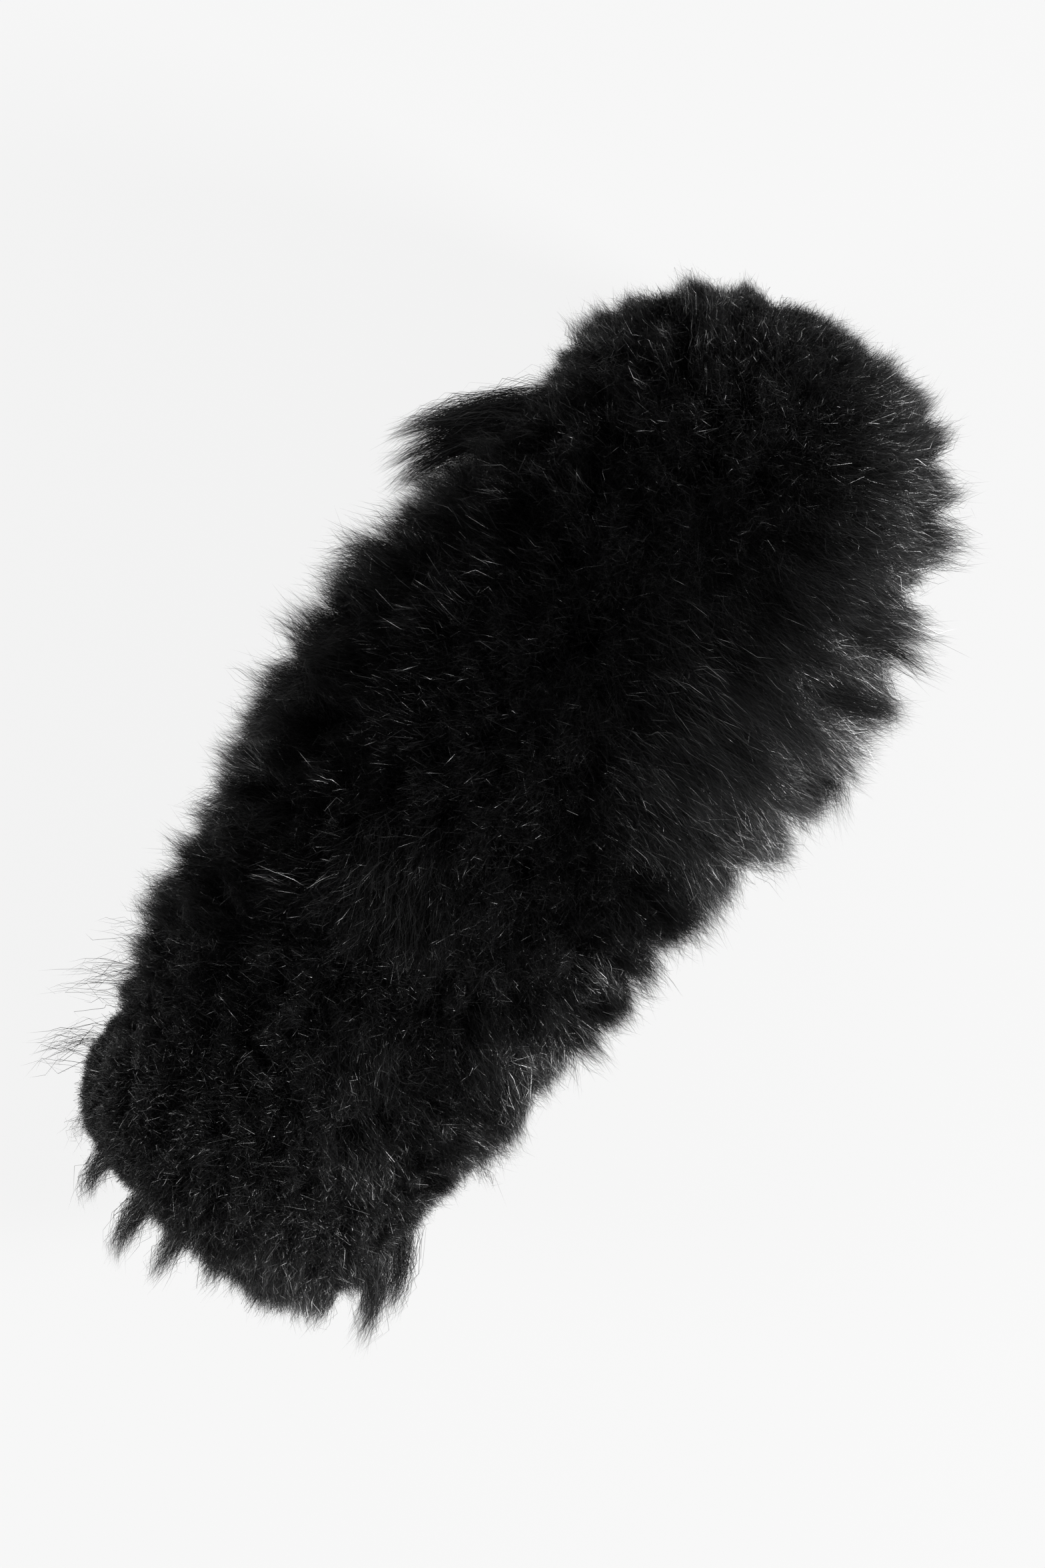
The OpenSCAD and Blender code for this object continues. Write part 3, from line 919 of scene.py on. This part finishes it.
def make_seams(thread):
    """Turned-in edges of the fur fabric, oversewn with slanted stitches."""
    edge = woven_material("seam_fabric", (0.006, 0.006, 0.007), (0.02, 0.02, 0.021), 2, 2, 0.15 * MM)
    for node in ("tail_seam", "nose_seam"):
        x0, x1 = low(node).x, high(node).x
        inner_r = BACKING_R if node == "tail_seam" else BACKING_R - 0.6 * MM
        points, quads = revolved(rounded_section(x0, x1, inner_r, SEAM_R - 0.3 * MM, 0.5 * MM), 144)
        soft_piece(f"{node}_edges", node, "jacket", points, quads, edge)
        ring_of_stitches(f"{node}_stitches", node, (x0 + x1) / 2, SEAM_R - 0.35 * MM, 84, 0.5, thread)
    x0, x1 = low("spine_seam").x, high("spine_seam").x
    half, top, bottom = 0.8 * MM, -BACKING_R, -SEAM_R + 0.3 * MM
    sides = 16
    turn = np.linspace(0, 2 * np.pi, sides, endpoint=False)
    middle, half_height = (top + bottom) / 2, (top - bottom) / 2
    section = [
        (half * squarish(math.cos(a)), middle + half_height * squarish(math.sin(a)))
        for a in turn
    ]
    rows = 120
    xs = np.linspace(x0, x1, rows)
    points = np.array([(x, y, z) for x in xs for y, z in section])
    quads = []
    for first in range(0, (rows - 1) * sides, sides):
        for j in range(sides):
            j2 = (j + 1) % sides
            quads.append((first + j, first + j2, first + sides + j2, first + sides + j))
    for first in (0, (rows - 1) * sides):
        quads += [(first + j, first + j + 1, first + 14 - j, first + 15 - j) for j in range(7)]
    soft_piece("spine_seam_edges", "spine_seam", "jacket", points, np.array(quads), edge)
    count = 62
    stitch_x = np.linspace(x0 + 2 * MM, x1 - 2 * MM, count)
    centres = np.stack([stitch_x, np.zeros(count), np.full(count, bottom)], 1)
    along = np.tile(unit(np.array([0.85, 0.53, 0])), (count, 1))
    down = np.tile(np.array([0.0, 0, -1]), (count, 1))
    stitches("spine_seam_stitches", "spine_seam", centres, along, down, thread)


# ---- Core ----

FOAM_TURNS = 128

def pitted(points, size, depth, offset):
    """Points pushed in a little here and there, as cut foam is."""
    bump = smooth_noise(points, size, offset) * depth
    return points - outward(points) * np.abs(bump)[:, None]


def make_foam():
    open_cell = foam_material("open_foam", (0.006, 0.006, 0.007), (0.05, 0.05, 0.054), 1.6)
    closed_cell = foam_material("closed_foam", (0.03, 0.03, 0.032), (0.07, 0.07, 0.075), 3)
    foam_r = high("foam_body").y
    bore_r = high("bore_sleeve").y + 0.3 * MM
    wide_r = 14.5 * MM
    wide_end = high("gripper_collar").x + 0.5 * MM
    x0, x1 = low("foam_body").x, high("foam_body").x
    tube = [
        (x0, wide_r), (x0, foam_r), (x1, foam_r),
        (x1, bore_r), (wide_end, bore_r), (wide_end, wide_r),
    ]
    points, quads = revolved(filled(tube), FOAM_TURNS)
    points = pitted(points, 2.4 * MM, 0.35 * MM, 7.7)
    body = soft_piece("foam_body_cells", "foam_body", "core", points, quads, open_cell)

    half_ball = [(DOME_X, NEAR_AXIS)] + quarter_arc(foam_r)
    points, quads = revolved(filled(half_ball), FOAM_TURNS)
    points = pitted(points, 2.4 * MM, 0.3 * MM, 3.3)
    nose = soft_piece("foam_nose_cells", "foam_nose", "core", points, quads, open_cell)

    gasket_low, gasket_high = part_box("foam_gasket")
    loop = rounded_section(gasket_low.x, gasket_high.x, wide_r, gasket_high.y, 0.4 * MM)
    points, quads = revolved(loop)
    gasket = soft_piece(
        "foam_gasket_ring", "foam_gasket", "core", points, quads, closed_cell)

    pad_low, pad_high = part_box("bore_end_pad")
    loop = rounded_section(pad_low.x, pad_high.x, -pad_high.y, pad_high.y, 0.8 * MM)
    half = [(x, max(r, NEAR_AXIS)) for x, r in loop if r > -0.001 * MM]
    points, quads = revolved(filled(half))
    pad = soft_piece(
        "bore_end_pad_disc", "bore_end_pad", "core", points, quads, closed_cell)


def paint_core():
    """Materials for the CAD parts whose shapes are shown as they are."""
    moulded = grained_material(
        "moulded_plastic", (0.010, 0.010, 0.011), (0.016, 0.016, 0.017), 0.42, 2.2, 0.05 * MM)
    cage = grained_material(
        "cage_plastic", (0.012, 0.012, 0.013), (0.02, 0.02, 0.022), 0.5, 1.6, 0.06 * MM)
    rubber = grained_material(
        "soft_rubber", (0.012, 0.012, 0.012), (0.022, 0.021, 0.021), 0.68, 3.0, 0.04 * MM, 0.35)
    mesh_cloth = woven_material(
        "sleeve_mesh", (0.006, 0.006, 0.007), (0.035, 0.035, 0.038), 1.6, 1.6, 0.2 * MM)
    looks = {
        "clamp_ring": moulded, "base_cup": moulded, "clamp_screws": steel_material(),
        "gripper_collar": rubber, "bore_sleeve": mesh_cloth,
        "cage_rear_pod": cage, "cage_joint_ring": cage, "cage_front_pod": cage, "cage_nose_dome": cage,
    }
    for node, material in looks.items():
        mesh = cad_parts[node].data
        mesh.materials.clear()
        mesh.materials.append(material)


thread = grained_material("seam_thread", (0.01, 0.01, 0.011), (0.03, 0.03, 0.032), 0.6, 5, 0.03 * MM)
make_liner()
make_hem(thread)
make_seams(thread)
make_foam()
paint_core()
